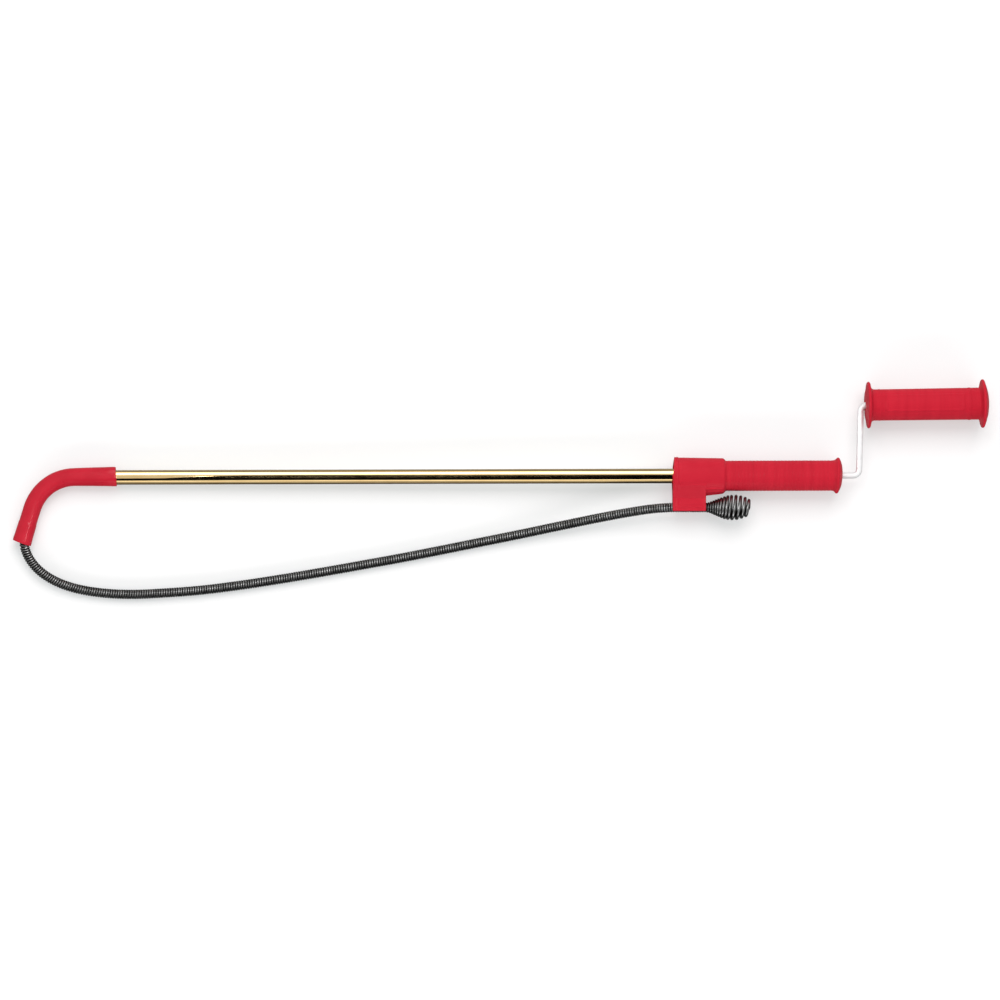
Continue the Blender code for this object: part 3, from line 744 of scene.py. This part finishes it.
def make_bulb(cable_angle):
    """The bulb head: the coil's last turns flare out, open up and close again to a blunt tip."""
    per_turn, sides, thinning = 28, 12, 8
    x, points = 0.3 * MM + WIRE_R, []
    angle = cable_angle - 2 * pi * x / WINDING       # goes on in step with the cable's wire
    xs, rs = (np.array(column) * MM for column in zip(*BULB_SHAPE))
    last = xs[-1] - WIRE_R - 0.6 * MM
    while x < last:
        radius = np.interp(x, xs, rs) - WIRE_R
        points.append((x, radius * cos(angle), radius * sin(angle)))
        x += np.interp(x, *BULB_PITCH) / per_turn
        angle -= 2 * pi / per_turn
    points = np.array(points)
    for _ in range(6):                               # even out the pitch
        points[1:-1, 0] = (points[:-2, 0] + points[2:, 0]) / 2
    lean, thicker = radians(5), 0.34                 # of the open turns
    opening = np.clip((points[:, 0] - 30 * MM) / (16 * MM), 0, 1)
    points[:, 0] += opening * points[:, 1] * tan(lean)
    radii = WIRE_R * (1 + thicker * opening)
    radii[-3:] *= np.array([0.95, 0.8, 0.45])
    radii[:thinning] *= np.linspace(MEETING_WIRE, 1, thinning)
    vertices, faces = bar(points, radii, sides)
    bulb = piece("bulb_winding", vertices, faces, "cable_bulb", SPRING, BULB, 80)
    # the bulb's lower peak paints its wire a little darker than the cable's, as painted shade
    mark_crest(bulb, vertices, points, points * [1, 0, 0], sides, 0.94)
    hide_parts("bulb_neck", "bulb_coil")


# ---------------------------------------------------------------- collar

def box_mesh(low, high):
    """A box between two opposite corners, as a bmesh."""
    low, high = Vector(low), Vector(high)
    shape = bmesh.new()
    bmesh.ops.create_cube(shape, size=1.0)
    for vert in shape.verts:
        vert.co = (low + high) / 2 + Vector(a * b for a, b in zip(vert.co, high - low))
    return shape


def mesh_object(name, shape):
    """A loose helper object, made from a bmesh."""
    mesh = bpy.data.meshes.new(name)
    shape.to_mesh(mesh)
    shape.free()
    obj = bpy.data.objects.new(name, mesh)
    bpy.context.scene.collection.objects.link(obj)
    return obj


def hull_mesh(points):
    """The convex solid round some points, as a bmesh."""
    shape = bmesh.new()
    bmesh.ops.convex_hull(shape, input=[shape.verts.new(point) for point in points])
    return shape


def turned_solid(profile, sides=96, y=0.0):
    """A closed turned solid as a bmesh; its profile starts and ends on the axis."""
    vertices, faces = lathe([(x, max(r, 1e-7)) for x, r in profile], sides, closed=False)
    shape = bmesh.new()
    verts = [shape.verts.new((v[0], v[1] + y, v[2])) for v in vertices]
    for face in faces:
        shape.faces.new([verts[i] for i in face])
    bmesh.ops.remove_doubles(shape, verts=shape.verts, dist=1e-6)
    return shape


def rod_between(start, finish, radius):
    """A rod with round ends, as a bmesh."""
    start, finish = Vector(start), Vector(finish)
    onward = (finish - start).normalized()
    angles = pi / 2 * np.linspace(0.05, 1, 6)
    points = [start - onward * radius * cos(a) for a in angles]
    points += [finish + onward * radius * cos(a) for a in angles[::-1]]
    radii = [radius * sin(a) for a in (*angles, *angles[::-1])]
    vertices, faces = bar([tuple(p) for p in points], radii, 16)
    shape = bmesh.new()
    verts = [shape.verts.new(v) for v in vertices]
    for face in faces:
        shape.faces.new([verts[i] for i in face])
    bmesh.ops.recalc_face_normals(shape, faces=shape.faces)
    return shape


def boolean(obj, shape, operation):
    """Join a shape to the object's mesh, or cut it out."""
    other = mesh_object("helper", shape)
    step = obj.modifiers.new("cut", "BOOLEAN")
    step.object, step.operation, step.solver = other, operation, "EXACT"
    bake(obj)
    bpy.data.objects.remove(other)


def bake(obj):
    """Apply the object's modifiers to its mesh."""
    evaluated = obj.evaluated_get(bpy.context.evaluated_depsgraph_get())
    mesh = bpy.data.meshes.new_from_object(evaluated)
    obj.modifiers.clear()
    obj.data = mesh


def join_into(obj, shapes):
    """Put more closed shapes into the object's mesh, overlapping it."""
    whole = bmesh.new()
    whole.from_mesh(obj.data)
    for shape in shapes:
        extra = bpy.data.meshes.new("extra")
        shape.to_mesh(extra)
        shape.free()
        whole.from_mesh(extra)
    whole.to_mesh(obj.data)
    whole.free()


def collar_beads():
    """The double bead that trims the collar's front, the hook's edges and the barrel's lower edge."""
    left, right = HOOK_X[0] + 1.6 * MM, HOOK_X[1] - 1.6 * MM
    low_foot, high_foot = HOOK_FOOT + 2.1 * MM, HOOK_FOOT + 6.3 * MM
    bead, side = 1.5 * MM, HOOK_HALF - 0.55 * MM
    found = []
    for z in (side, -side):
        for y in (low_foot, high_foot):
            found.append(rod_between((left, y, z), (right, y, z), bead))
        found.append(rod_between((right, low_foot, z), (right, -20 * MM, z), bead))
        for x in (HOOK_X[0] + 1.8 * MM, HOOK_X[0] + 6.0 * MM):
            found.append(rod_between((x, low_foot, z), (x, -18 * MM, z), bead))
    barrel = ((right, COLLAR_R[0] - 1.2 * MM), (COLLAR_X[1] - 1.2 * MM, COLLAR_R[1] - 0.5 * MM))
    for angle in (radians(-46), radians(-59)):
        for flip in (1, -1):
            ends = [(x, radius * sin(angle), flip * radius * cos(angle)) for x, radius in barrel]
            found.append(rod_between(*ends, bead))
    return found


def collar_barrel():
    """Half section of the collar's solid barrel, from its narrow end to its grooved front."""
    low, high = COLLAR_X
    wide, narrow = COLLAR_R
    return [
        (high + 3.2 * MM, 0), (high + 3.2 * MM, GRIP_R + 0.6 * MM), (high + 0.2 * MM, narrow),
        (low + 9.4 * MM, wide - 0.75 * MM), (low + 8.4 * MM, wide - 0.95 * MM),
        (low + 7.8 * MM, wide - 1.25 * MM), (low + 7.0 * MM, wide),
        (low + 5.2 * MM, wide), (low + 4.4 * MM, wide - 0.9 * MM),
        (low + 3.6 * MM, wide), (low + 0.2 * MM, wide), (low, wide - 0.2 * MM), (low, 0),
    ]


def melt(obj, voxel):
    """Melt the object's overlapping shapes into one even skin, once it is baked."""
    remesh = obj.modifiers.new("voxels", "REMESH")
    remesh.mode, remesh.voxel_size = "VOXEL", voxel


def make_collar():
    """The collar: a barrel with the hook's block, webs and beads melted on, then bored and cut."""
    low, high = COLLAR_X
    left, right = HOOK_X
    collar = mesh_object("cable_clip_collar", turned_solid(collar_barrel()))
    plate, ends = HOOK_HALF - 0.05 * MM, (left + 0.3 * MM, right - 0.3 * MM)
    block = box_mesh((ends[0], HOOK_FOOT, -plate), (ends[1], -8 * MM, plate))
    boolean(collar, block, "UNION")
    sides = ((-11.5 * MM, 21.3 * MM), (-29 * MM, plate))
    web = hull_mesh([(x, y, flip * z) for x in ends for y, z in sides for flip in (1, -1)])
    boolean(collar, web, "UNION")
    edge = (
        (right - 3 * MM, -26.2 * MM), (high - 0.8 * MM, -23.4 * MM),
        (high - 0.8 * MM, -18 * MM), (right - 3 * MM, -18 * MM),
    )
    strip = hull_mesh([(x, y, z) for x, y in edge for z in (4.5 * MM, -4.5 * MM)])
    boolean(collar, strip, "UNION")
    join_into(collar, collar_beads())
    melt(collar, 0.55 * MM)
    bake(collar)
    # the bores of the grip and the cable, and the slot between the jaws, run out past both ends
    far, jaw = 20 * MM, 5.2 * MM
    for radius, y, count in ((GRIP_R + SLACK, 0, 96), (CABLE_R + SLACK, CLIP_Y, 48)):
        bore = [(high + far, 0), (high + far, radius), (left - far, radius), (left - far, 0)]
        boolean(collar, turned_solid(bore, count, y), "DIFFERENCE")
    slot = box_mesh((left - far, HOOK_FOOT - far, -jaw), (right + far, CLIP_Y - 2 * MM, jaw))
    boolean(collar, slot, "DIFFERENCE")
    face_lean, wide = radians(-5.8), 60 * MM
    face = box_mesh((-40 * MM, -HOOK_HALF, -wide), (0, wide, wide))
    bmesh.ops.rotate(face, verts=face.verts, cent=(0, 0, 0), matrix=Matrix.Rotation(face_lean, 3, "Z"))
    bmesh.ops.translate(face, verts=face.verts, vec=(low, 0, 0))
    boolean(collar, face, "DIFFERENCE")
    melt(collar, 0.5 * MM)
    soften = collar.modifiers.new("soften", "SMOOTH")
    soften.factor, soften.iterations = 0.5, 2
    bake(collar)
    collar.data.shade_smooth()
    collar.data.materials.clear()
    collar.data.materials.append(RED_COLLAR)
    collar.data.transform(TOOL)
    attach(collar, "guide")
    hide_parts("clip_collar")


# ---------------------------------------------------------------- crank

def make_rod():
    """The crank's rod, from the coupling in the tube round the arm into the crank grip."""
    corners = [
        (ROD_START_X, 0, 0), (ARM_X, 0, 0), (ARM_TOP_X, CRANK_THROW, 0),
        tuple(CRANK.inverted() @ (KNOB @ Vector((ROD_REACH, 0, 0)))),
    ]
    path = filleted(corners, ROD_BEND_R, 16)
    chamfer, chamfer_length = 0.5 * MM, 0.6 * MM
    last = (path[-1] - path[-2]).normalized()
    path.insert(1, path[0] + Vector((chamfer_length, 0, 0)))
    path.insert(-1, path[-1] - last * chamfer_length)
    radii = [ROD_R] * len(path)
    radii[0] = radii[-1] = ROD_R - chamfer
    vertices, faces = bar([tuple(p) for p in path], radii, 40)
    rod = piece("plated_crank_rod", vertices, faces, "crank", BRIGHT, CRANK, 50)
    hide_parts("crank_rod")


def knob_outline():
    """Half section of the crank grip, from its outer dome round both rims to its bore."""
    length, lip, hole = KNOB_LENGTH, 1.9 * MM, 6.6 * MM
    inner_x, outer_x = 4.6 * MM, length - 7.7 * MM
    inner_r, outer_r = KNOB_RIMS
    dome = [
        (length, 0), (length - 0.35 * MM, 9 * MM),
        (length - 1.6 * MM, 17 * MM), (length - 4.0 * MM, 25 * MM),
    ]
    outer = [*rounded(dome, 12 * MM, 8), *arc((outer_x, outer_r - lip), lip, 25, 170, 12)]
    waist = [
        (outer_x - 2.5 * MM, 27.4 * MM), (outer_x - 3.4 * MM, 23.4 * MM),
        (outer_x - 4.8 * MM, KNOB_BODY_R + 0.4 * MM), (outer_x - 7.0 * MM, KNOB_BODY_R),
    ]
    body = [(x, KNOB_BODY_R) for x in np.linspace(outer_x - 7.6 * MM, inner_x + 7.6 * MM, 280)]
    shoulder = [
        (inner_x + 7.0 * MM, KNOB_BODY_R), (inner_x + 4.6 * MM, KNOB_BODY_R + 0.4 * MM),
        (inner_x + 3.2 * MM, 23.2 * MM), (inner_x + 2.3 * MM, 26.6 * MM),
    ]
    face = [
        (inner_x - 2.2 * MM, 25.4 * MM), (0.5 * MM, 18 * MM), (0, 12 * MM),
        (0, hole + 1.0 * MM), (0.8 * MM, hole),
    ]
    inner = [*arc((inner_x, inner_r - lip), lip, 10, 160, 12), *rounded(face, 4 * MM)]
    bore = [(ROD_REACH - 4 * MM, hole), (ROD_REACH - 4 * MM, 0)]
    return [*outer, *rounded(waist, 2 * MM), *body, *rounded(shoulder, 2 * MM), *inner, *bore]


def make_knob():
    """The crank grip: a spool with a plain raised panel and a fine step near its outer rim."""
    sides = 192
    outline = [(KNOB_HUB_X + x, max(r, 1e-6)) for x, r in knob_outline()]
    vertices, faces = lathe(outline, sides, closed=False)
    turn = np.arctan2(vertices[:, 2], vertices[:, 1])
    radius = np.hypot(vertices[:, 1], vertices[:, 2])
    along = vertices[:, 0] - KNOB_HUB_X
    on_body = np.abs(radius - KNOB_BODY_R) < 0.01 * MM

    def between(value, low, high):
        """1 between low and high and 0 outside them, both in mm, with a soft step."""
        soft = 0.2 * MM
        rise, fall = (value - low * MM) / soft, (value - high * MM) / soft
        return 1 / (1 + np.exp(-rise)) / (1 + np.exp(fall))

    raised = np.zeros(len(vertices))
    for middle in (84, -96):         # degrees from +Y towards +Z: one panel on either side
        around = (turn - radians(middle) + pi) % (2 * pi) - pi
        sideways = around * KNOB_BODY_R
        plate = between(along, 25, 127) * between(sideways, -11.5, 11.5)
        field = between(along, 28, 124) * between(sideways, -8.7, 8.7)
        raised += 0.7 * MM * plate - 0.55 * MM * field
    raised += 0.4 * MM * between(along, 133.5, 136)
    raised += 0.25 * MM * between(along, 17.5, 19.5)
    raised += 0.6 * MM * (along / KNOB_LENGTH - 0.5)       # the body widens a little outwards
    grow = np.where(on_body, 1 + raised / np.maximum(radius, 1e-9), 1.0)
    vertices[:, 1] *= grow
    vertices[:, 2] *= grow
    knob = piece("spool_crank_grip", vertices, faces, "crank_handle", RED_GRIP, KNOB, 50)
    clean = bmesh.new()
    clean.from_mesh(knob.data)
    bmesh.ops.remove_doubles(clean, verts=clean.verts, dist=5e-6)
    clean.to_mesh(knob.data)
    clean.free()
    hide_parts("crank_grip")


make_camera()
make_tube()
make_guard()
make_hand_grip()
make_bulb(make_cable())
make_collar()
make_rod()
make_knob()
make_studio()
